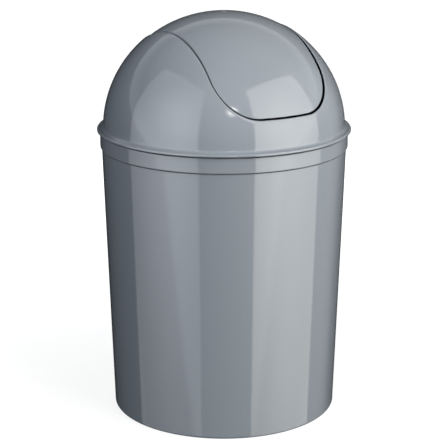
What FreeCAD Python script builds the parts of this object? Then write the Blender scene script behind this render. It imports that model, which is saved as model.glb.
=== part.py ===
"""Round swing-lid waste bin: a bucket, a dome lid, a two-way flap and its two pivot pins.

Millimetres, +Z up, with the origin at the centre of the base. The front of the flap faces -Y,
and the flap swings about an axis along X.
"""

import FreeCAD
import Part

import math
import os

Vector = FreeCAD.Vector
ORIGIN = Vector(0, 0, 0)
X_AXIS = Vector(1, 0, 0)
Y_AXIS = Vector(0, 1, 0)
Z_AXIS = Vector(0, 0, 1)

# Bucket
BASE_RADIUS = 111.8  # outside, at the foot
SHOULDER_RADIUS = 120.6  # outside, where the tapered wall meets the collar
BUCKET_HEIGHT = 282.0
BUCKET_WALL = 2.0
COLLAR_HEIGHT = 15.5  # the band under the rim
COLLAR_STEP = 1.6  # how far the band stands out from the wall
COLLAR_CHAMFER = 0.8  # height of the slope under the band
FLOOR = 2.2
FLOOR_RAISE = 5.0  # hollow under the floor
FLOOR_ROUND = 6.0  # inside, where the floor meets the wall
FOOT_WIDTH = 6.0  # the ring that the bin stands on
FOOT_ROUND = 1.5
FOOT_INNER_ROUND = 0.7
RIM_ROUND = 0.7

# Lid
LID_WALL = 1.8
FLANGE = 4.0  # thickness, with a fully rounded edge
FLANGE_OVERHANG = 2.8  # past the bucket's collar
SKIRT_DEPTH = 13.0  # how far the lid plugs into the bucket
SKIRT_CLEARANCE = 0.4  # all round, inside the collar
SKIRT_CHAMFER = 0.7
DOME_SETBACK = 0.7  # from the skirt's outside in to the dome
DOME_CENTRE_RISE = 2.3  # from the flange's underside up to the widest part of the dome
DOME_RISE = 115.5  # from there to the top
DOME_FILLET = 4.0  # hollow curve between the dome and the flange
OPENING_WIDTH = 122.0
OPENING_CORNER = 35.5
SILL_RISE = 28.7  # from the flange's top up to the opening's lower edge

# Flap
FLAP_SKIN = 1.8
FLAP_INSET = 1.2  # below the lid's surface
FLAP_LIP = 6.0  # depth of the turned-in edge
FLAP_LIP_WALL = 2.0
SIDE_GAP = 1.1
SILL_GAP = 1.6

# Pivots and stops
PIVOT_DROP = 9.5  # from the top of the lid's cheeks down to the axis
PIN_RADIUS = 2.5
PIN_RUNNING = 0.07  # radial clearance in the flap's ear
PIN_PRESS = 0.02  # radial interference in the lid's lug
PIN_END_PLAY = 0.3  # between the head and the ear
PIN_HEAD_RADIUS = 4.5
PIN_HEAD = 2.0
PIN_TIP = 1.2  # past the lug
PIN_ROUND = 0.6
LUG = 3.0  # thickness
LUG_RADIUS = 7.0  # round the pin
LUG_MARGIN = 1.5  # of the stop edge past the peg
EAR_HALF_WIDTH = 7.0
HUB_RADIUS = 5.0  # spacer on the ear that runs against the lug
HUB_CLEARANCE = 0.3
SWING = 75.0  # degrees each way
STOP_REACH = 9.5  # from the axis down to the stop peg
STOP_RADIUS = 1.5
STOP_OVERLAP = 2.0  # of the peg across the lug's edge
STOP_CLEARANCE = 0.3  # left at the end of the swing

# Sizes that follow
collar_radius = SHOULDER_RADIUS + COLLAR_STEP
collar_bore = collar_radius - BUCKET_WALL
collar_z = BUCKET_HEIGHT - COLLAR_HEIGHT
flange_radius = collar_radius + FLANGE_OVERHANG
flange_top = BUCKET_HEIGHT + FLANGE
skirt_radius = collar_bore - SKIRT_CLEARANCE
dome_radius = skirt_radius - DOME_SETBACK
dome_z = BUCKET_HEIGHT + DOME_CENTRE_RISE
opening_half = OPENING_WIDTH / 2
sill_z = flange_top + SILL_RISE
flap_half = opening_half - SIDE_GAP
ear_face = flap_half - FLAP_LIP_WALL
pin_seat = ear_face - PIN_END_PLAY
lug_back = opening_half + LUG
pin_tip = lug_back + PIN_TIP
cheek_z = dome_z + DOME_RISE * math.sqrt(1 - (opening_half / dome_radius) ** 2)
pivot_z = cheek_z - PIVOT_DROP
peg_z = pivot_z - STOP_REACH
above_all = dome_z + DOME_RISE + FLANGE
past_all = flange_radius + FLANGE


def at(x, z):
    """Point in the XZ plane, where every section is drawn."""
    return Vector(x, 0, z)


def line(start, end):
    return Part.LineSegment(start, end).toShape()


def arc(start, middle, end):
    return Part.Arc(start, middle, end).toShape()


def outline(corners):
    """Closed wire in the XZ plane through (x, z, rounding) corners."""
    points = [at(x, z) for x, z, _ in corners]
    starts, ends, arcs = [], [], []
    for i, (_, _, rounding) in enumerate(corners):
        corner = points[i]
        back = (points[i - 1] - corner).normalize()
        ahead = (points[(i + 1) % len(points)] - corner).normalize()
        half = back.getAngle(ahead) / 2
        reach = rounding / math.tan(half)
        starts.append(corner + back * reach)
        ends.append(corner + ahead * reach)
        if rounding:
            bisector = (back + ahead).normalize()
            middle = corner + bisector * (rounding / math.sin(half) - rounding)
            arcs.append(arc(starts[i], middle, ends[i]))
    runs = [line(ends[i - 1], starts[i]) for i in range(len(corners))]
    return Part.Wire(Part.__sortEdges__(runs + arcs))


def turned(wire, axis):
    """Solid of revolution about an axis through the origin."""
    return Part.Face(wire).revolve(ORIGIN, axis, 360)


def dome_reach(inset, z):
    """Radius of the dome at a height, this far inside the lid's surface."""
    return (dome_radius - inset) * math.sqrt(1 - ((z - dome_z) / (DOME_RISE - inset)) ** 2)


def dome_arc(inset, low_z):
    """Edge of the dome's section from low_z up to its top, this far inside the lid's surface."""
    centre = at(0, dome_z)
    radius = dome_radius - inset
    rise = DOME_RISE - inset
    side = at(radius, dome_z)
    top = at(0, dome_z + rise)
    ends = (side, top) if radius >= rise else (top, side)
    ellipse = Part.Ellipse(*ends, centre)
    low = at(dome_reach(inset, low_z), low_z)
    return ellipse.toShape(*sorted((ellipse.parameter(low), ellipse.parameter(top))))


def dome_solid(inset):
    """The dome filled, this far inside the lid's surface: half an ellipsoid with its poles on X."""
    ball = Part.makeSphere(1, ORIGIN, Z_AXIS, -90, 90, 180)
    ball.rotate(ORIGIN, X_AXIS + Y_AXIS + Z_AXIS, 120)
    stretch = FreeCAD.Matrix()
    stretch.scale(dome_radius - inset, dome_radius - inset, DOME_RISE - inset)
    solid = ball.transformGeometry(stretch)
    solid.translate(at(0, dome_z))
    return solid


def mouth(margin, sill_margin):
    """Prism along Y through both sides of the dome: the opening, drawn in by the margins."""
    half = opening_half - margin
    low = sill_z + sill_margin
    corner = OPENING_CORNER - margin
    wire = outline(
        [
            (-half, low, corner),
            (half, low, corner),
            (half, above_all, 0),
            (-half, above_all, 0),
        ]
    )
    prism = Part.Face(wire).extrude(Y_AXIS * 2 * past_all)
    prism.translate(Y_AXIS * -past_all)
    return prism


def rod(radius, z, x_from, x_to):
    """Cylinder along X on the plane of symmetry."""
    return Part.makeCylinder(radius, x_to - x_from, at(x_from, z), X_AXIS)


def plate(half_width, z_from, x_from, x_to):
    """Plate square to X, from a height up through the dome."""
    corner = Vector(x_from, -half_width, z_from)
    return Part.makeBox(x_to - x_from, 2 * half_width, above_all - z_from, corner)


def mirrored(shape):
    """The same on the left, across the YZ plane."""
    return shape.mirror(ORIGIN, X_AXIS)


def make_bucket():
    slope = (SHOULDER_RADIUS - BASE_RADIUS) / collar_z
    floor_top = FLOOR_RAISE + FLOOR
    inner_base = BASE_RADIUS + slope * floor_top - BUCKET_WALL
    foot_bore = BASE_RADIUS - FOOT_WIDTH
    seat_z = collar_z + BUCKET_WALL
    section = outline(
        [
            (0, floor_top, 0),
            (0, FLOOR_RAISE, 0),
            (foot_bore, FLOOR_RAISE, FOOT_ROUND),
            (foot_bore, 0, FOOT_INNER_ROUND),
            (BASE_RADIUS, 0, FOOT_ROUND),
            (SHOULDER_RADIUS, collar_z, 0),
            (collar_radius, collar_z + COLLAR_CHAMFER, 0),
            (collar_radius, BUCKET_HEIGHT, RIM_ROUND),
            (collar_bore, BUCKET_HEIGHT, RIM_ROUND),
            (collar_bore, seat_z, 0),
            (SHOULDER_RADIUS - BUCKET_WALL, seat_z - COLLAR_STEP, 0),
            (inner_base, floor_top, FLOOR_ROUND),
        ]
    )
    return turned(section, Z_AXIS)


def lid_shell():
    """Dome, flange and skirt, before the opening is cut."""
    nose = FLANGE / 2
    nose_x = flange_radius - nose
    fillet_z = flange_top + DOME_FILLET
    fillet_x = dome_reach(0, fillet_z)
    hollow = DOME_FILLET * (1 - math.sqrt(0.5))
    skirt_z = BUCKET_HEIGHT - SKIRT_DEPTH
    bore = dome_radius - LID_WALL
    flange_run = [
        arc(
            at(fillet_x, fillet_z),
            at(fillet_x + hollow, flange_top + hollow),
            at(fillet_x + DOME_FILLET, flange_top),
        ),
        line(at(fillet_x + DOME_FILLET, flange_top), at(nose_x, flange_top)),
        arc(at(nose_x, flange_top), at(flange_radius, flange_top - nose), at(nose_x, BUCKET_HEIGHT)),
    ]
    skirt_points = [
        at(nose_x, BUCKET_HEIGHT),
        at(skirt_radius, BUCKET_HEIGHT),
        at(skirt_radius, skirt_z + SKIRT_CHAMFER),
        at(skirt_radius - SKIRT_CHAMFER, skirt_z),
        at(bore, skirt_z),
        at(bore, dome_z),
    ]
    skirt_run = [line(*ends) for ends in zip(skirt_points, skirt_points[1:])]
    top = at(0, dome_z + DOME_RISE)
    dome_run = [dome_arc(LID_WALL, dome_z), line(top - Z_AXIS * LID_WALL, top), dome_arc(0, fillet_z)]
    section = Part.Wire(Part.__sortEdges__(flange_run + skirt_run + dome_run))
    return turned(section, Z_AXIS)


def lid_lug():
    """Right bearing lug: a boss round the pin, and a plate whose lower edge stops the flap's peg."""
    swing = math.radians(SWING)
    stop_z = pivot_z - STOP_REACH * math.cos(swing) + STOP_RADIUS + STOP_CLEARANCE
    stop_half = STOP_REACH * math.sin(swing) + STOP_RADIUS + LUG_MARGIN
    lug = plate(stop_half, stop_z, ear_face, lug_back)
    lug = lug.fuse(plate(LUG_RADIUS, pivot_z, ear_face, lug_back))
    lug = lug.fuse(rod(LUG_RADIUS, pivot_z, ear_face, lug_back))
    return lug.common(dome_solid(LID_WALL / 2))


def make_lid():
    lug = lid_lug()
    hole = rod(PIN_RADIUS - PIN_PRESS, pivot_z, ear_face, pin_tip)
    lid = lid_shell().fuse([lug, mirrored(lug)])
    lid = lid.cut(mouth(0, 0))
    return lid.cut([hole, mirrored(hole)]).removeSplitter()


def flap_ear():
    """Right ear, with its spacer hub and stop peg."""
    ear = plate(EAR_HALF_WIDTH, peg_z, ear_face, flap_half)
    ear = ear.fuse(rod(EAR_HALF_WIDTH, peg_z, ear_face, flap_half))
    ear = ear.common(dome_solid(FLAP_INSET + FLAP_SKIN / 2))
    ear = ear.fuse(rod(HUB_RADIUS, pivot_z, ear_face, opening_half - HUB_CLEARANCE))
    return ear.fuse(rod(STOP_RADIUS, peg_z, ear_face, opening_half + STOP_OVERLAP))


def make_flap():
    inner = FLAP_INSET + FLAP_SKIN
    within_lip = mouth(SIDE_GAP + FLAP_LIP_WALL, SILL_GAP + FLAP_LIP_WALL)
    flap = dome_solid(FLAP_INSET).common(mouth(SIDE_GAP, SILL_GAP))
    flap = flap.cut(dome_solid(inner + FLAP_LIP))
    flap = flap.cut(dome_solid(inner).common(within_lip))
    ear = flap_ear()
    flap = flap.fuse([ear, mirrored(ear)])
    hole = rod(PIN_RADIUS + PIN_RUNNING, pivot_z, pin_seat, opening_half)
    return flap.cut([hole, mirrored(hole)]).removeSplitter()


def make_pin():
    """Right pin: its head is inside the flap, and its shank is pressed into the lid's lug."""
    head_end = pin_seat - PIN_HEAD
    section = outline(
        [
            (head_end, 0, 0),
            (head_end, PIN_HEAD_RADIUS, PIN_ROUND),
            (pin_seat, PIN_HEAD_RADIUS, 0),
            (pin_seat, PIN_RADIUS, 0),
            (pin_tip, PIN_RADIUS, PIN_ROUND),
            (pin_tip, 0, 0),
        ]
    )
    pin = turned(section, X_AXIS)
    pin.translate(at(0, pivot_z))
    return pin


right_pin = make_pin()
pieces = {
    "bucket": make_bucket(),
    "lid": make_lid(),
    "flap": make_flap(),
    "pivot_pin_left": mirrored(right_pin),
    "pivot_pin_right": right_pin,
}

os.makedirs("parts", exist_ok=True)
for name, shape in pieces.items():
    shape.exportStep(os.path.join("parts", name + ".step"))
    solid = shape.Solids[0]
    balance = [round(value, 2) for value in solid.CenterOfMass]
    print(name, len(shape.Solids), shape.isValid(), round(solid.Volume), "mm3, balance", balance)
print("pivot height", round(pivot_z, 3))
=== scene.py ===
# %% [markdown]
# # A round bin with a swing flap
# The bin is three mouldings in glossy blue-grey plastic: a tapered bucket, a dome lid that drops into
# its rim, and a flap that hangs in the lid on two small pins. A CAD model already fixes every size and
# every joint. This lesson loads it first, then models the surfaces that the eye sees, in the same place.

# %% Load the frame
import bmesh
import bpy
import math
from mathutils import Matrix, Vector


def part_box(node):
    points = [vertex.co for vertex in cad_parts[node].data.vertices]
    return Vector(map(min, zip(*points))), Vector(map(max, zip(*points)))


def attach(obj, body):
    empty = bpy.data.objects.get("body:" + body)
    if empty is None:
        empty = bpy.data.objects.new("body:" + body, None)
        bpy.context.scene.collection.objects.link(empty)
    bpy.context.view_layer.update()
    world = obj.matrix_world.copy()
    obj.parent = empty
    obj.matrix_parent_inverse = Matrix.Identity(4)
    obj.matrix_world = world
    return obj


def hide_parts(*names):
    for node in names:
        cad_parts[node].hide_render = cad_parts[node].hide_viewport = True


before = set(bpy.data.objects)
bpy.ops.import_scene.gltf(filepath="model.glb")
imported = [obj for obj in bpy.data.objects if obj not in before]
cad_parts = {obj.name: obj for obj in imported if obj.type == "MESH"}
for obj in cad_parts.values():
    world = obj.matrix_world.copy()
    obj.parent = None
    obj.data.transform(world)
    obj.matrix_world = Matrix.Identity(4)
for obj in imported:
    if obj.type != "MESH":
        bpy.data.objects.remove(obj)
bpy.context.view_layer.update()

bpy.context.scene.view_settings.view_transform = "Standard"

# %% [markdown]
# ## The camera
# A camera can be placed by eye, but a bin is all circles, and each of them shows how far up and how far
# away the camera stood. The four numbers below and the lens were solved from the outline of the bin. They
# come first, because nothing later can be compared with the photograph until the view is right. The bin's
# front is turned to the right of the camera, so the camera stands that far round to the left.

# %% Place the camera
VIEW_TURN = math.radians(31.0)
VIEW_TILT = math.radians(16.07)  # downwards
VIEW_DISTANCE = 1.5394  # from the bin's axis, along the floor
VIEW_HEIGHT = 0.6281
SENSOR_WIDTH, LENS = 36.0, 128.27  # in millimetres
towards_camera = Vector((-math.sin(VIEW_TURN), -math.cos(VIEW_TURN), 0))
bpy.ops.object.select_all(action="DESELECT")
bpy.ops.object.camera_add(
    location=towards_camera * VIEW_DISTANCE + Vector((0, 0, VIEW_HEIGHT)),
    rotation=(math.pi / 2 - VIEW_TILT, 0, -VIEW_TURN),
)
camera = bpy.context.object
camera.name = "photo_camera"
camera.data.sensor_width = SENSOR_WIDTH
camera.data.lens = LENS
bpy.context.scene.camera = camera
print("camera at", [round(value, 3) for value in camera.location])

# %% [markdown]
# ## Nodes as sums
# A material is a net of nodes. Linking each node by hand takes many lines, so one small class holds an
# output and lets Python's own signs do the work: adding two of them makes a Math node. Every other node
# comes from one method, which sets the node up first and then fills its sockets.

# %% One class for every node
class Wire:
    """An output in a node tree, or the bare tree when there is no output yet."""

    def __init__(self, tree, output=None):
        self.tree = tree
        self.output = output

    def node(self, kind, settings=None, sockets=None, output=0):
        made = self.tree.nodes.new(kind)
        for name, value in (settings or {}).items():
            if name == "stops":
                for stop, (place, shade) in zip(made.color_ramp.elements, value):
                    stop.position = place
                    stop.color = (shade, shade, shade, 1)
            else:
                setattr(made, name, value)
        for name, value in (sockets or {}).items():
            if isinstance(value, Wire):
                self.tree.links.new(value.output, made.inputs[name])
            else:
                made.inputs[name].default_value = value
        return Wire(self.tree, made.outputs[output] if made.outputs else None)

    def maths(self, operation, first, second):
        return self.node("ShaderNodeMath", {"operation": operation}, {0: first, 1: second})

    def __add__(self, other):
        return self.maths("ADD", self, other)

    def __rsub__(self, other):
        return self.maths("SUBTRACT", other, self)

    def __mul__(self, other):
        return self.maths("MULTIPLY", self, other)

    __radd__ = __add__
    __rmul__ = __mul__


def blank_tree(owner):
    """The empty node tree of a material, a light or the world."""
    owner.use_nodes = True
    owner.node_tree.nodes.clear()
    return Wire(owner.node_tree)


print("node class ready")

# %% [markdown]
# ## The studio
# Gloss is only as good as what it mirrors. The plastic shows a tall pale panel on each side of the camera,
# brightest near its lamp, and little from behind, which is why its edges are dark. One light could do both
# jobs, but then every change to a reflection would change the shading too. So each side has lamps that only
# light, and a glowing card that is only mirrored. All are upright rectangles placed by their direction.
# The pair behind the bin is low and narrow, so that it lights the back and stays out of the edges. The
# small card near the camera is the bright spot beside the flap.

# %% Lamps that light the bin
LAMP_DISTANCE = 1.2
WARM = (1.04, 1.01, 0.95)
COOL = (0.96, 0.99, 1.05)
LAMPS = {  # tint, turn to the camera's right, left, right, low and high edge, level
    "right_lamp": (WARM, 51, -0.52, 0.40, 1.10, 1.67, 18.0),
    "right_fill": (WARM, 51, -0.52, 0.40, 0.25, 1.10, 3.25),
    "left_lamp": (COOL, -62, 0.10, 0.97, 0.65, 1.30, 5.8),
    "back_lamp": (COOL, 180, -0.30, 0.30, -0.10, 0.50, 12.0),
}


def soft_light(name, distance, tint, turn, left, right, low, high, level):
    """Upright area light, turned this far to the camera's right and facing the bin."""
    facing = math.atan2(towards_camera.y, towards_camera.x) + math.radians(turn)
    outwards = Vector((math.cos(facing), math.sin(facing), 0))
    sideways = Vector((-outwards.y, outwards.x, 0))
    middle = outwards * distance + sideways * (left + right) / 2 + Vector((0, 0, (low + high) / 2))
    upright = (math.pi / 2, 0, facing + math.pi / 2)
    bpy.ops.object.light_add(type="AREA", location=middle, rotation=upright)
    light = bpy.context.object
    light.name = name
    light.data.shape = "RECTANGLE"
    light.data.size = right - left
    light.data.size_y = high - low
    light.data.energy = level * math.pi * light.data.size * light.data.size_y
    light.data.color = tint
    light.visible_camera = False
    return light


for name, values in LAMPS.items():
    soft_light(name, LAMP_DISTANCE, *values).visible_glossy = False
print("lamps:", list(LAMPS))

# %% Cards that the gloss mirrors
CARD_DISTANCE = 1.18  # nearer than the lamps, because a lamp in front would hide its card
NEAR_CARD = 0.45
EASED = {"interpolation_type": "SMOOTHSTEP"}
CARDS = {  # distance, tint, turn, four edges, brightest spot, its level, the rim's level, reach of the spot
    "right_card": (CARD_DISTANCE, WARM, 51, (-0.52, 1.16, -0.80, 1.64), (0.0, 0.35), 3.5, 1.7, 1.3),
    "left_card": (CARD_DISTANCE, COOL, -62, (-0.72, 0.97, -0.80, 1.78), (0.26, 0.40), 2.8, 0.85, 1.2),
    "back_card": (NEAR_CARD, COOL, 180, (-0.105, 0.105, -0.35, 0.22), (0.0, 0.0), 1.8, 0.9, 0.4),
    "small_card": (CARD_DISTANCE, WARM, 8, (-0.16, 0.16, 0.75, 1.07), (0.0, 0.91), 13, 0.0, 0.16),
}


def glowing_card(name, distance, tint, turn, edges, spot, peak, rim, reach):
    """Area light that only reflections see, fading from its brightest spot towards its rim."""
    left, right, low, high = edges
    card = soft_light(name, distance, tint, turn, left, right, low, high, 1)
    card.visible_diffuse = False
    tree = blank_tree(card.data)
    size = (right - left, high - low, 0)
    centre = ((spot[0] - left) / size[0], (spot[1] - low) / size[1], 0)
    place = tree.node("ShaderNodeNewGeometry", output="Parametric")
    away = tree.node("ShaderNodeVectorMath", {"operation": "SUBTRACT"}, {0: place, 1: centre})
    metres = tree.node("ShaderNodeVectorMath", {"operation": "MULTIPLY"}, {0: away, 1: size})
    radius = tree.node("ShaderNodeVectorMath", {"operation": "LENGTH"}, {0: metres}, "Value")
    glow = tree.node("ShaderNodeMapRange", EASED, {0: radius, 1: 0.0, 2: reach, 3: peak, 4: rim})
    surface = tree.node("ShaderNodeEmission", {}, {"Strength": glow})
    tree.node("ShaderNodeOutputLight", {}, {"Surface": surface})


for name, values in CARDS.items():
    glowing_card(name, *values)
print("cards:", list(CARDS))

# %% [markdown]
# The tent is the world itself, and its light depends only on direction: a pale roof that ends on a tilted
# plane, a brighter front above the camera, and a pale wall on the right that fades out behind the bin. The
# camera sees plain white there instead, through the Is Camera Ray output, so the background is white without
# putting any more light on the bin.

# %% The tent and the white background
ROOF_EDGE, ROOF_TOP = 0.60, 0.09
FRONT_LIGHT = 0.42
WALL_LIGHT = 0.56
TENT_COLOUR = (0.93, 1.0, 1.05, 1)
ROOF_TILT = math.radians(58)  # of the middle of the roof, above the camera's side
roof_axis = towards_camera * math.cos(ROOF_TILT) + Vector((0, 0, math.sin(ROOF_TILT)))
to_the_right = Vector((-towards_camera.y, towards_camera.x, 0))
world = bpy.data.worlds.new("studio")
bpy.context.scene.world = world
tree = blank_tree(world)
direction = tree.node("ShaderNodeTexCoord", output="Generated")


def along(axis):
    """How far the direction points along an axis, from -1 to 1."""
    sockets = {0: direction, 1: axis}
    return tree.node("ShaderNodeVectorMath", {"operation": "DOT_PRODUCT"}, sockets, "Value")


def fade(value, start, end, low, high):
    """Eased step from low to high while a value goes from start to end."""
    return tree.node("ShaderNodeMapRange", EASED, {0: value, 1: start, 2: end, 3: low, 4: high})


roof = fade(along(roof_axis), 0.0, 0.03, 0.0, 1.0)
roof = roof * fade(along(roof_axis), 0.04, 0.30, ROOF_EDGE, ROOF_TOP)
front = fade(along(towards_camera), 0.25, 0.75, 0.0, 1.0)
front = front * fade(along(Vector((0, 0, 1))), -0.45, 0.15, 0.0, FRONT_LIGHT)
wall = fade(along(to_the_right), 0.55, 0.9, 0.0, WALL_LIGHT)
seen = tree.node("ShaderNodeLightPath", output="Is Camera Ray")
shade = tree.node("ShaderNodeMix", {"data_type": "RGBA"}, {0: seen, 6: TENT_COLOUR, 7: (1, 1, 1, 1)}, 2)
brightness = (roof + front + wall) * (1 - seen) + seen
sky = tree.node("ShaderNodeBackground", {}, {"Color": shade, "Strength": brightness})
tree.node("ShaderNodeOutputWorld", {}, {"Surface": sky})
print("tent: roof", ROOF_EDGE, "front", FRONT_LIGHT, "wall", WALL_LIGHT)

# %% [markdown]
# The floor is a plain sheet that only the camera sees, so the tall cards can reach below it in the
# reflections, as they do in the photograph. It glows for the camera, which makes it white, a little less
# close to the bin. The rest of its brightness there is real light, so the bin's shadow still falls on it.
# From below it is clear, so that the foot can be looked at.

# %% The floor
FLOOR_GLOW = (0.84, 1.0)  # at the bin and further out
FLOOR_FADE = (0.15, 0.60)  # from the bin's axis
FLOOR_SIZE = 12
FLOOR_SHADE = (0.2, 0.2, 0.2, 1)
FLOOR_GAP = 0.0003  # so that the foot ring never lies in the same plane
bpy.ops.object.select_all(action="DESELECT")
bpy.ops.mesh.primitive_plane_add(size=FLOOR_SIZE, location=(0, 0, -FLOOR_GAP))
floor = bpy.context.object
floor.name = "floor"
for ray in ("diffuse", "glossy", "transmission", "shadow"):
    setattr(floor, "visible_" + ray, False)
floor_finish = bpy.data.materials.new("pale_floor")
tree = blank_tree(floor_finish)
place = tree.node("ShaderNodeTexCoord", output="Object")
away = tree.node("ShaderNodeVectorMath", {"operation": "LENGTH"}, {0: place}, "Value")
brightness = tree.node("ShaderNodeMapRange", {}, dict(enumerate((away, *FLOOR_FADE, *FLOOR_GLOW))))
glow = tree.node("ShaderNodeEmission", {}, {"Strength": brightness})
matt = tree.node("ShaderNodeBsdfDiffuse", {}, {"Color": FLOOR_SHADE})
both = tree.node("ShaderNodeAddShader", {}, {0: matt, 1: glow})
below = tree.node("ShaderNodeNewGeometry", output="Backfacing")
clear = tree.node("ShaderNodeBsdfTransparent")
sheet = tree.node("ShaderNodeMixShader", {}, {0: below, 1: both, 2: clear})
tree.node("ShaderNodeOutputMaterial", {}, {"Surface": sheet})
floor.data.materials.append(floor_finish)
print("floor", floor.dimensions[:2])

# %% [markdown]
# ## The plastic
# Polished moulded plastic looks flat only from far away. Close to, its colour drifts where the melt flowed,
# its gloss has a fine grain, a faint orange-peel bends the reflections, and use leaves hairline scuffs. All
# of it could be painted on an image, but noise in the piece's own coordinates needs no unwrapping and has no
# seams. The pins share the recipe, with a paler colour and less gloss.

# %% Moulded plastic
FLOW, PEEL, GRAIN, HAIRS = 11, 160, 1900, 260  # how fine each noise is, per metre


def noise(tree, place, scale, detail, stretch=(1, 1, 1)):
    turned = tree.node("ShaderNodeMapping", {}, {"Vector": place, "Scale": stretch})
    return tree.node("ShaderNodeTexNoise", {}, {"Vector": turned, "Scale": scale, "Detail": detail})


def moulded_plastic(name, deep, pale, gloss):
    material = bpy.data.materials.new(name)
    tree = blank_tree(material)
    place = tree.node("ShaderNodeTexCoord", output="Object")
    flow = noise(tree, place, FLOW, 4, (1, 1, 0.3))
    peel = noise(tree, place, PEEL, 1)
    grain = noise(tree, place, GRAIN, 2)
    hairs = noise(tree, place, HAIRS, 2, (1, 1, 0.02))
    scuffs = tree.node("ShaderNodeValToRGB", {"stops": ((0.66, 0), (0.74, 1))}, {"Fac": hairs})
    colour = tree.node("ShaderNodeMix", {"data_type": "RGBA"}, {0: flow, 6: (*deep, 1), 7: (*pale, 1)}, 2)
    roughness = gloss + 0.03 * grain + 0.05 * scuffs
    height = 0.85 * peel + 0.15 * grain
    bump = tree.node("ShaderNodeBump", {}, {"Strength": 0.06, "Distance": 0.0005, "Height": height})
    surface = {"Base Color": colour, "Roughness": roughness, "Normal": bump, "IOR": 1.6}
    shader = tree.node("ShaderNodeBsdfPrincipled", {}, surface)
    tree.node("ShaderNodeOutputMaterial", {}, {"Surface": shader})
    return material


grey_plastic = moulded_plastic("grey_plastic_gloss", (0.195, 0.215, 0.240), (0.215, 0.238, 0.266), 0.055)
pin_plastic = moulded_plastic("pin_plastic_natural", (0.66, 0.65, 0.60), (0.72, 0.71, 0.67), 0.38)
print("finishes:", grey_plastic.name, pin_plastic.name)

# %% [markdown]
# ## Sizes
# The loaded nodes give the outside sizes and the pivot. What they can't show, such as wall thickness, is
# written once here, in metres, as the drawing has it.

# %% Sizes from the frame
BUCKET_WALL = 0.0020
COLLAR_HEIGHT = 0.0155
COLLAR_STEP = 0.0016
LID_WALL = 0.0018
FLAP_INSET = 0.0012  # below the lid's surface
SKIRT_GAP = 0.0004
DOME_SETBACK = 0.0007
DOME_CENTRE_RISE = 0.0023
rim_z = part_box("bucket")[1].z
collar_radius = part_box("bucket")[1].x
flange_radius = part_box("lid")[1].x
skirt_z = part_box("lid")[0].z
pin_low, pin_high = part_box("pivot_pin_right")
pivot_z = (pin_low.z + pin_high.z) / 2
skirt_radius = collar_radius - BUCKET_WALL - SKIRT_GAP
dome_radius = skirt_radius - DOME_SETBACK
dome_z = rim_z + DOME_CENTRE_RISE
dome_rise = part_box("flap")[1].z + FLAP_INSET - dome_z
print("dome radius", round(dome_radius, 4), "rise", round(dome_rise, 4), "pivot", round(pivot_z, 4))

# %% [markdown]
# ## Tools for edit mode
# Two ways of working cover the whole bin. A turned piece is a section drawn by extruding one vertex from
# corner to corner, then spun round the axis. A piece that isn't round is a ring, extruded again and again,
# with each new ring set on its own curve. Both need everything else deselected first. On a thin shell Blender
# can guess wrongly which side is out, so the volume is looked at too: it is negative inside out.

# %% Start, draw and close a piece
def fresh_piece(name, add, **shape):
    """Adds a primitive with nothing else selected, and opens it in edit mode."""
    bpy.ops.object.select_all(action="DESELECT")
    add(**shape)
    piece = bpy.context.object
    piece.name = piece.data.name = name
    bpy.ops.object.mode_set(mode="EDIT")
    return piece


def clean_up():
    """Merges doubled corners, turns every face outwards and leaves edit mode."""
    bpy.ops.mesh.select_all(action="SELECT")
    bpy.ops.mesh.remove_doubles(threshold=1e-6)
    bpy.ops.mesh.normals_make_consistent(inside=False)
    if bmesh.from_edit_mesh(bpy.context.edit_object.data).calc_volume(signed=True) < 0:
        bpy.ops.mesh.flip_normals()
    bpy.ops.object.mode_set(mode="OBJECT")


def dress(piece, finish, slot, body, *nodes):
    """Smooth shading, the finish, and the body that the piece moves with."""
    bpy.ops.object.select_all(action="DESELECT")
    piece.select_set(True)
    bpy.context.view_layer.objects.active = piece
    bpy.ops.object.shade_smooth_by_angle(angle=math.radians(35))
    piece.data.materials.clear()
    piece.data.materials.append(finish)
    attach(piece, body)
    if nodes:
        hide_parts(*nodes)
    print(piece.name, "rides on", body, "with", len(piece.data.polygons), "faces")


# %% A rounded section, spun
ARC_STEPS = 6
SPIN_STEPS = 240
GUARD = 0.0012  # an extra corner beside each rounding, so that the flats stay flat


def rounded(corners):
    """Section through (radius, height, rounding) corners."""
    path = [Vector(corners[0][:2])]
    for before, (x, z, rounding), after in zip(corners, corners[1:], corners[2:]):
        corner = Vector((x, z))
        back = (Vector(before[:2]) - corner).normalized()
        ahead = (Vector(after[:2]) - corner).normalized()
        half = back.angle(ahead) / 2
        centre = corner + (back + ahead).normalized() * rounding / math.sin(half)
        start = corner + back * rounding / math.tan(half)
        end = corner + ahead * rounding / math.tan(half)
        turn = math.pi - 2 * half
        arc = []
        for step in range(ARC_STEPS + 1):
            share = step / ARC_STEPS
            spoke = (start - centre) * math.sin((1 - share) * turn) + (end - centre) * math.sin(share * turn)
            arc.append(centre + spoke / math.sin(turn))
        path += [start + back * GUARD, *arc, end + ahead * GUARD]
    return path + [Vector(corners[-1][:2])]


def spun(name, path):
    """Draws the section by extruding a vertex, and spins it round the bin's axis."""
    piece = fresh_piece(name, bpy.ops.mesh.primitive_plane_add, size=0.01)
    bpy.ops.mesh.merge(type="CENTER")
    bpy.ops.transform.translate(value=(path[0].x, 0, path[0].y))
    for here, there in zip(path, path[1:]):
        step = (there.x - here.x, 0, there.y - here.y)
        bpy.ops.mesh.extrude_vertices_move(TRANSFORM_OT_translate={"value": step})
    bpy.ops.mesh.select_all(action="SELECT")
    bpy.ops.mesh.spin(steps=SPIN_STEPS, angle=2 * math.pi, center=(0, 0, 0), axis=(0, 0, 1))
    clean_up()
    return piece


print("section tools ready")

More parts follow.
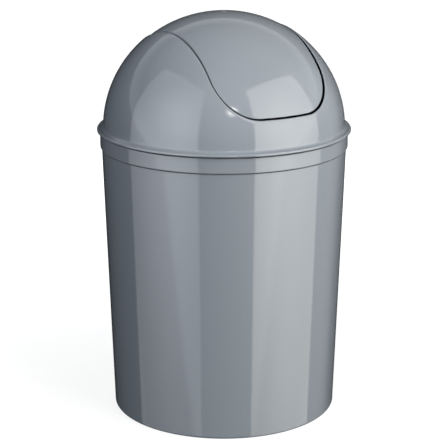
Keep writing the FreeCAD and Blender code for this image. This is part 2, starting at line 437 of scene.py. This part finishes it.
# %% [markdown]
# ## The bucket
# The real bucket is one thin shell, moulded with a little taper so that it leaves the tool, with a straight
# collar under the rim and a foot ring round a raised floor. Cylinders and booleans would give sharp joins,
# and a solidified surface would not know the foot from the rim. One closed section, spun, has the true wall
# and every small rounding that catches the light. The nub under the floor is where the plastic was let in.

# %% Spin the bucket
BASE_RADIUS = 0.1118
FOOT_WIDTH = 0.0060
FLOOR_RAISE = 0.0050
FLOOR_TOP = 0.0072
NUB_RADIUS = 0.0040
NUB_DEPTH = 0.0006
COLLAR_SLOPE = 0.0004  # how far the slope under the collar reaches below its edge
collar_z = rim_z - COLLAR_HEIGHT
shoulder_radius = collar_radius - COLLAR_STEP
inner_base = BASE_RADIUS + (shoulder_radius - BASE_RADIUS) * FLOOR_TOP / collar_z - BUCKET_WALL
collar_bore = collar_radius - BUCKET_WALL
bucket_section = [  # radius, height, rounding
    (0, FLOOR_RAISE - NUB_DEPTH, 0),
    (NUB_RADIUS, FLOOR_RAISE - NUB_DEPTH, 0.0002),
    (NUB_RADIUS, FLOOR_RAISE, 0.0002),
    (BASE_RADIUS - FOOT_WIDTH, FLOOR_RAISE, 0.0015),
    (BASE_RADIUS - FOOT_WIDTH, 0, 0.0007),
    (BASE_RADIUS, 0, 0.0015),
    (shoulder_radius, collar_z - COLLAR_SLOPE, 0.0003),
    (collar_radius, collar_z + COLLAR_STEP - COLLAR_SLOPE, 0.0003),
    (collar_radius, rim_z, 0.0010),
    (collar_bore, rim_z, 0.0005),
    (collar_bore, collar_z + BUCKET_WALL, 0.0006),
    (shoulder_radius - BUCKET_WALL, collar_z + BUCKET_WALL - COLLAR_STEP, 0.0006),
    (inner_base, FLOOR_TOP, 0.0060),
    (0, FLOOR_TOP, 0),
]
bucket_shell = spun("bucket_shell", rounded(bucket_section))
dress(bucket_shell, grey_plastic, "grey_plastic", "bucket", "bucket")

# %% [markdown]
# ## The seam between lid and flap
# Seen from the front, the opening is an arch standing on its head: a flat sill, two round corners and two
# straight sides. It is cut straight through the dome from front to back, over the top. Cutting the dome with
# a boolean would leave ragged faces right where the gloss shows them. Instead the curve is worked out, and
# both mouldings are built from it, so their faces run along the seam.

# %% Curves on the dome
SILL_STEPS, CORNER_STEPS, SIDE_STEPS = 10, 20, 30  # in each quarter of a ring


def seam(half, sill, corner, inset):
    """Ring where the arch, cut from front to back, meets the dome this far under the lid's surface."""
    reach, rise = dome_radius - inset, dome_rise - inset
    arch = [((half - corner) * step / SILL_STEPS, sill) for step in range(SILL_STEPS)]
    for step in range(CORNER_STEPS):
        turn = math.pi / 2 * step / CORNER_STEPS
        arch.append((half - corner + corner * math.sin(turn), sill + corner * (1 - math.cos(turn))))
    quarter = []
    for x, z in arch:
        quarter.append((x, reach * math.sqrt(1 - (x / reach) ** 2 - ((z - dome_z) / rise) ** 2), z))
    flat = math.sqrt(1 - (half / reach) ** 2)
    low = math.asin((sill + corner - dome_z) / (rise * flat))
    for step in range(SIDE_STEPS + 1):
        turn = low + (math.pi / 2 - low) * step / SIDE_STEPS
        quarter.append((half, reach * flat * math.cos(turn), dome_z + rise * flat * math.sin(turn)))
    ring = [Vector((x, -y, z)) for x, y, z in quarter]
    ring += [Vector((x, y, z)) for x, y, z in quarter[-2::-1]]
    return ring + [Vector((-point.x, point.y, point.z)) for point in ring[-2:0:-1]]


def polar(ring, inset):
    """The ring as (direction, steepness) on the dome this far under the lid's surface."""
    return [(math.atan2(p.y, p.x), math.asin((p.z - dome_z) / (dome_rise - inset))) for p in ring]


def on_dome(angles, inset):
    """Points of the dome at (direction, steepness), this far under the lid's surface."""
    reach, rise = dome_radius - inset, dome_rise - inset
    points = []
    for d, s in angles:
        flat = reach * math.cos(s)
        points.append(Vector((flat * math.cos(d), flat * math.sin(d), dome_z + rise * math.sin(s))))
    return points


def between(first, last, share):
    """Part of the way from one ring of angles to another, the short way round."""
    mixed = []
    for (d0, s0), (d1, s1) in zip(first, last):
        turn = (d1 - d0 + math.pi) % (2 * math.pi) - math.pi
        mixed.append((d0 + turn * share, s0 + (s1 - s0) * share))
    return mixed


print("points round a seam:", 4 * (SILL_STEPS + CORNER_STEPS + SIDE_STEPS))

# %% Rings, extruded one from the next
def set_ring(piece, ring, edge):
    """Moves the selected ring onto its curve, and notes how much of its edge is to be rounded."""
    mesh = bmesh.from_edit_mesh(piece.data)
    for vertex, point in zip([v for v in mesh.verts if v.select], ring):
        vertex.co = point
    layers = mesh.edges.layers.float
    weight = layers.get("bevel_weight_edge") or layers.new("bevel_weight_edge")
    for line in mesh.edges:
        if line.select:
            line[weight] = edge
    bmesh.update_edit_mesh(piece.data)


def lofted(name, rings):
    """Skin through (ring, edge) pairs: a circle on the first ring, extruded to each of the others."""
    piece = fresh_piece(name, bpy.ops.mesh.primitive_circle_add, vertices=len(rings[0][0]), radius=0.1)
    set_ring(piece, *rings[0])
    for ring, edge in rings[1:]:
        bpy.ops.mesh.extrude_edges_move(TRANSFORM_OT_translate={"value": (0, 0, 0)})
        set_ring(piece, ring, edge)
    return piece


def soften(piece, width):
    """Rounds the noted edges with a Bevel modifier, and applies it."""
    bevel = piece.modifiers.new("soft_edges", "BEVEL")
    bevel.limit_method = "WEIGHT"
    bevel.width = width
    bevel.segments = 5
    bpy.ops.object.modifier_apply(modifier=bevel.name)


print("ring tools ready")

# %% [markdown]
# ## The lid
# The lid is a dome on a rounded flange, with a skirt below that plugs into the bucket. Its skin is followed
# all the way round in one loop of rings: down the inside of the dome, round the skirt, out under the flange,
# over its nose, in along the top, up the outside and back over the cut edge. Rings near the seam run along
# it, and rings lower down run level, because each is part of the way between the two. Along the opening the
# lid bends in a little, which is where the reflections curl. The opening is wider inside than outside, so
# that its edge stays thin and the seam dark.

# %% Loft the lid
OPENING_HALF = 0.0610
OPENING_CORNER = 0.0355
SILL_RISE = 0.0287  # above the flange's top
FLANGE = 0.0040
FLANGE_SEAT = 0.0010  # the part of its underside that rests on the rim
FLANGE_RELIEF = 0.0012
NOSE = 0.0018
NOSE_UNDER = 0.0008
DOME_FILLET = 0.0030
SKIRT_CHAMFER = 0.0007
LID_EDGE = 0.0017
EDGE_DROP = 0.0006  # how far the lid bends in along the opening
SKIRT_EDGE, INNER_EDGE = 0.25, 0.1  # shares of the lid's edge
UNDERCUT = 0.0016  # how much wider the opening is on the inside
DOME_ROWS = 30
BACK_OFF = 0.0030  # the last row before a rounded edge
LEAST_RUN = 0.05  # radians that a column of rows is taken to cover
SKIRT_ROW = 0.0020  # extra rows beside the skirt's corners
CHAMFER_ROW = 0.0030
sill_z = rim_z + FLANGE + SILL_RISE
lid_outer = seam(OPENING_HALF, sill_z, OPENING_CORNER, 0)
inner_arch = (OPENING_HALF + UNDERCUT, sill_z - UNDERCUT, OPENING_CORNER + UNDERCUT)
lid_inner = seam(*inner_arch, LID_WALL)
outer_angles, inner_angles = polar(lid_outer, 0), polar(lid_inner, LID_WALL)
fillet_z = rim_z + FLANGE + DOME_FILLET
fillet_steep = math.asin((fillet_z - dome_z) / dome_rise)
fillet_x = dome_radius * math.cos(fillet_steep)


def level_ring(radius, z):
    """Round ring at a height, with its points under those of the lid's seam."""
    return [Vector((radius * math.cos(d), radius * math.sin(d), z)) for d, _ in outer_angles]


def rows(first, last, count):
    """Rings of angles from first to last, even but for one close to the last."""
    close = []
    for (_, s0), (_, s1) in zip(first, last):
        run = dome_radius * max(abs(s1 - s0), LEAST_RUN)
        close.append(1 - min(0.5, BACK_OFF / run))
    made = []
    for row in range(count):
        shares = [end * row / (count - 1) for end in close]
        made.append([between([a], [b], share)[0] for a, b, share in zip(first, last, shares)])
    return made


def quarter_turn(steps):
    """Sines and cosines from nothing to a quarter turn."""
    turns = [math.pi / 2 * step / steps for step in range(steps + 1)]
    return [(math.sin(turn), math.cos(turn)) for turn in turns]


inner_base_ring = [(d, 0) for d, _ in outer_angles]
outer_base_ring = [(d, fillet_steep) for d, _ in outer_angles]
lining_rows = rows(inner_base_ring, inner_angles, DOME_ROWS)
lid_rings = [(lid_inner, INNER_EDGE)]
lid_rings += [(on_dome(ring, LID_WALL), 0) for ring in lining_rows[::-1]]
bore = dome_radius - LID_WALL
seat = skirt_radius + FLANGE_SEAT
nose_z = rim_z + FLANGE_RELIEF
top_z = rim_z + FLANGE
section = [  # radius, height, share of the edge's rounding
    (bore, skirt_z + SKIRT_ROW, 0),
    (bore, skirt_z, SKIRT_EDGE),
    (skirt_radius - SKIRT_CHAMFER, skirt_z, SKIRT_EDGE),
    (skirt_radius, skirt_z + SKIRT_CHAMFER, SKIRT_EDGE),
    (skirt_radius, skirt_z + CHAMFER_ROW, 0),
    (skirt_radius, rim_z - SKIRT_ROW, 0),
    (skirt_radius, rim_z, 0),
    (seat, rim_z, 0),
    (seat, nose_z, 0),
]
for sine, cosine in quarter_turn(6):
    section.append((flange_radius - NOSE_UNDER * (1 - sine), nose_z + NOSE_UNDER * (1 - cosine), 0))
for sine, cosine in quarter_turn(8):
    section.append((flange_radius - NOSE * (1 - cosine), top_z - NOSE * (1 - sine), 0))
for sine, cosine in quarter_turn(8):
    section.append((fillet_x + DOME_FILLET * (1 - sine), fillet_z - DOME_FILLET * cosine, 0))
lid_rings += [(level_ring(radius, z), edge) for radius, z, edge in section[:-1]]
lid_rings += [(on_dome(ring, 0), 0) for ring in rows(outer_base_ring, outer_angles, DOME_ROWS)]
lid_edge = seam(OPENING_HALF, sill_z, OPENING_CORNER, EDGE_DROP)
lid_rings += [(lid_edge, 1), (lid_inner, INNER_EDGE)]
lid_dome = lofted("lid_dome", lid_rings)
clean_up()
soften(lid_dome, LID_EDGE)
dress(lid_dome, grey_plastic, "grey_plastic", "lid", "lid")

# %% [markdown]
# ## The flap
# The flap fills the opening with a small gap, so its rings start from the same arch, drawn in a little. From
# the top of the dome they spread out until they lie along the edge, turn in round a lip that stiffens the
# thin skin, and come back up inside. In the photograph the gap is narrow at the left and wide at the lower
# right, as if the flap had turned a little on its loose pins, so the rings are turned about the bin's axis.
# The dimple at the very top is the gate where the plastic was let in.

# %% Loft the flap
SIDE_GAP = 0.0020
FLAP_TURN = math.radians(-0.85)
FLAP_SHIFT = 0.0002
SILL_GAP = 0.0010
FLAP_SKIN = 0.0018
FLAP_LIP = 0.0060
LIP_WALL = 0.0020
FLAP_EDGE = 0.0006
LIP_EDGE = 0.4  # share of the flap's edge
GATE_RADIUS = 0.0030
GATE_DEPTH = 0.0004
GATE_SLOPE = 0.0005
PIP_TOP, PIP_FOOT = 0.0006, 0.0010  # radius of the pip in its middle
CROWN_RADIUS = 0.0060  # the round ring where the skin's rings begin
flap_half = OPENING_HALF - SIDE_GAP
flap_arch = (flap_half, sill_z + SILL_GAP, OPENING_CORNER - SIDE_GAP)
lip_arch = (flap_half - LIP_WALL, sill_z + SILL_GAP + LIP_WALL, OPENING_CORNER - SIDE_GAP - LIP_WALL)
under = FLAP_INSET + FLAP_SKIN
lip_end = under + FLAP_LIP


def crown(angles, radius):
    """Small round ring about the top, with its points in line with those of a seam."""
    return [(d, math.acos(radius / dome_radius)) for d, _ in angles]


def dimple(angles, radius, depth):
    """The same, sunk below the skin."""
    return [point - Vector((0, 0, depth)) for point in on_dome(crown(angles, radius), FLAP_INSET)]


flap_outer = seam(*flap_arch, FLAP_INSET)
flap_angles = polar(flap_outer, FLAP_INSET)
lip_top = seam(*lip_arch, under)
lip_angles = polar(lip_top, under)
gate = [(PIP_TOP, 0), (PIP_FOOT, GATE_DEPTH), (GATE_RADIUS - GATE_SLOPE, GATE_DEPTH), (GATE_RADIUS, 0)]
flap_rings = [(dimple(flap_angles, radius, depth), 0) for radius, depth in gate]
skin = rows(crown(flap_angles, CROWN_RADIUS), flap_angles, DOME_ROWS)
flap_rings += [(on_dome(ring, FLAP_INSET), 0) for ring in skin]
lip_outer, lip_inner = seam(*flap_arch, lip_end), seam(*lip_arch, lip_end)
flap_rings += [(flap_outer, 1), (lip_outer, LIP_EDGE), (lip_inner, LIP_EDGE), (lip_top, 0)]
lining = rows(crown(lip_angles, CROWN_RADIUS), lip_angles, DOME_ROWS)
flap_rings += [(on_dome(ring, under), 0) for ring in lining[::-1]]
hung = Matrix.Translation((FLAP_SHIFT, 0, 0)) @ Matrix.Rotation(FLAP_TURN, 4, "Z")
flap_rings = [([hung @ point for point in ring], edge) for ring, edge in flap_rings]
flap_panel = lofted("flap_panel", flap_rings)
bpy.ops.mesh.merge(type="CENTER")
bpy.ops.mesh.select_mode(type="EDGE")
bpy.ops.mesh.select_non_manifold()
bpy.ops.mesh.edge_face_add()
bpy.ops.mesh.select_mode(type="VERT")
clean_up()
soften(flap_panel, FLAP_EDGE)
dress(flap_panel, grey_plastic, "grey_plastic", "flap", "flap")

# %% [markdown]
# ## Bearings
# Inside each cheek of the lid a lug holds the pin, and its flat lower edge stops the flap's peg. The flap's
# ear carries a hub that runs against the lug. They are small and mostly hidden, so plain solids joined with
# Boolean modifiers are enough, with a Bevel to take the sharpness off where the joins leave room for it. One
# side is modelled, then mirrored.

# %% Solids for the bearings
BEARING_EDGE = 0.0002


def solid_along_x(name, radius, z, x_from, x_to):
    """Round bar along X, at the bin's middle plane."""
    middle = ((x_from + x_to) / 2, 0, z)
    shape = {"vertices": 64, "radius": radius, "depth": x_to - x_from, "location": middle}
    piece = fresh_piece(name, bpy.ops.mesh.primitive_cylinder_add, rotation=(0, math.pi / 2, 0), **shape)
    bpy.ops.object.mode_set(mode="OBJECT")
    bpy.ops.object.transform_apply()
    return piece


def pull_up(piece, z, rise):
    """Pulls everything above a height further up, so that a bar becomes an arch on its head."""
    bpy.ops.object.mode_set(mode="EDIT")
    mesh = bmesh.from_edit_mesh(piece.data)
    for vertex in mesh.verts:
        vertex.select_set(vertex.co.z > z + 1e-6)
    mesh.select_flush_mode()
    bpy.ops.transform.translate(value=(0, 0, rise))
    bpy.ops.object.mode_set(mode="OBJECT")


def combine(piece, tool, operation):
    """Boolean of two pieces, applied. The tool is used up."""
    bpy.ops.object.select_all(action="DESELECT")
    piece.select_set(True)
    bpy.context.view_layer.objects.active = piece
    boolean = piece.modifiers.new(operation.lower(), "BOOLEAN")
    boolean.operation = operation
    boolean.object = tool
    bpy.ops.object.modifier_apply(modifier=boolean.name)
    bpy.data.objects.remove(tool)


def within_dome(piece, inset):
    """Keeps what lies inside the dome, this far under the lid's surface."""
    size = (dome_radius - inset, dome_radius - inset, dome_rise - inset)
    ball = {"segments": 128, "ring_count": 64, "radius": 1, "location": (0, 0, dome_z), "scale": size}
    dome = fresh_piece("dome_tool", bpy.ops.mesh.primitive_uv_sphere_add, **ball)
    bpy.ops.object.mode_set(mode="OBJECT")
    combine(piece, dome, "INTERSECT")


def both_sides(piece, body):
    """Takes the sharpness off, copies the piece to the left, and dresses the two."""
    bevel = piece.modifiers.new("soft_edges", "BEVEL")
    bevel.width = BEARING_EDGE
    bevel.segments = 2
    bevel.angle_limit = math.radians(40)
    bpy.ops.object.modifier_apply(modifier=bevel.name)
    bpy.ops.object.mode_set(mode="EDIT")
    clean_up()
    dress(piece, grey_plastic, "grey_plastic", body)
    bpy.ops.object.duplicate()
    copy = bpy.context.object
    copy.name = copy.data.name = piece.name.replace("right", "left")
    bpy.ops.object.mode_set(mode="EDIT")
    bpy.ops.mesh.select_all(action="SELECT")
    bpy.ops.transform.resize(value=(-1, 1, 1), center_override=(0, 0, 0))
    clean_up()
    dress(copy, grey_plastic, "grey_plastic", body)


print("solid tools ready")

# %% Lugs on the lid
PIN_RADIUS = 0.0025
LUG = 0.0030
LUG_RADIUS = 0.0070
STOP_DROP = 0.00066  # of the edge that the peg comes up against, below the pivot
STOP_HALF = 0.0122
ABOVE = 0.0200
PRESS = 0.00002  # by which the pin is held in the lug
HOLE_FROM, HOLE_TO = 0.05, 0.08
lug = solid_along_x("lid_lug_right", LUG_RADIUS, pivot_z, OPENING_HALF, OPENING_HALF + LUG)
pull_up(lug, pivot_z, ABOVE)
stop_middle = (OPENING_HALF + LUG / 2, 0, pivot_z - STOP_DROP + ABOVE / 2)
stop = fresh_piece("stop_tool", bpy.ops.mesh.primitive_cube_add, size=1, location=stop_middle)
bpy.ops.transform.resize(value=(LUG, 2 * STOP_HALF, ABOVE), center_override=stop_middle)
bpy.ops.object.mode_set(mode="OBJECT")
combine(lug, stop, "UNION")
within_dome(lug, LID_WALL / 2)
hole = solid_along_x("hole_tool", PIN_RADIUS - PRESS, pivot_z, HOLE_FROM, HOLE_TO)
combine(lug, hole, "DIFFERENCE")
both_sides(lug, "lid")

# %% Ears on the flap
EAR_HALF = 0.0070
STOP_REACH = 0.0095
HUB_RADIUS = 0.0050
PEG_RADIUS = 0.0015
PEG_OUT = 0.0020  # past the edge of the opening, under the lug
HUB_GAP = 0.0003
RUNNING = 0.00007  # room for the pin to turn in
EAR_RISE = 0.03
ear_face = flap_half - LIP_WALL
peg_z = pivot_z - STOP_REACH
ear = solid_along_x("flap_ear_right", EAR_HALF, peg_z, ear_face, flap_half)
pull_up(ear, peg_z, EAR_RISE)
within_dome(ear, FLAP_INSET + FLAP_SKIN / 2)
hub = solid_along_x("hub_tool", HUB_RADIUS, pivot_z, ear_face, OPENING_HALF - HUB_GAP)
combine(ear, hub, "UNION")
peg = solid_along_x("peg_tool", PEG_RADIUS, peg_z, ear_face, OPENING_HALF + PEG_OUT)
combine(ear, peg, "UNION")
hole = solid_along_x("hole_tool", PIN_RADIUS + RUNNING, pivot_z, HOLE_FROM, HOLE_TO)
combine(ear, hole, "DIFFERENCE")
both_sides(ear, "flap")

# %% [markdown]
# ## The pins
# The two pins are turned shapes that CAD already drew exactly, so they stay as they are and only get a
# finish.

# %% Finish the pins
for name in ("pivot_pin_left", "pivot_pin_right"):
    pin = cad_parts[name]
    pin.data.materials.clear()
    pin.data.materials.append(pin_plastic)
print("pins finished in", pin_plastic.name)
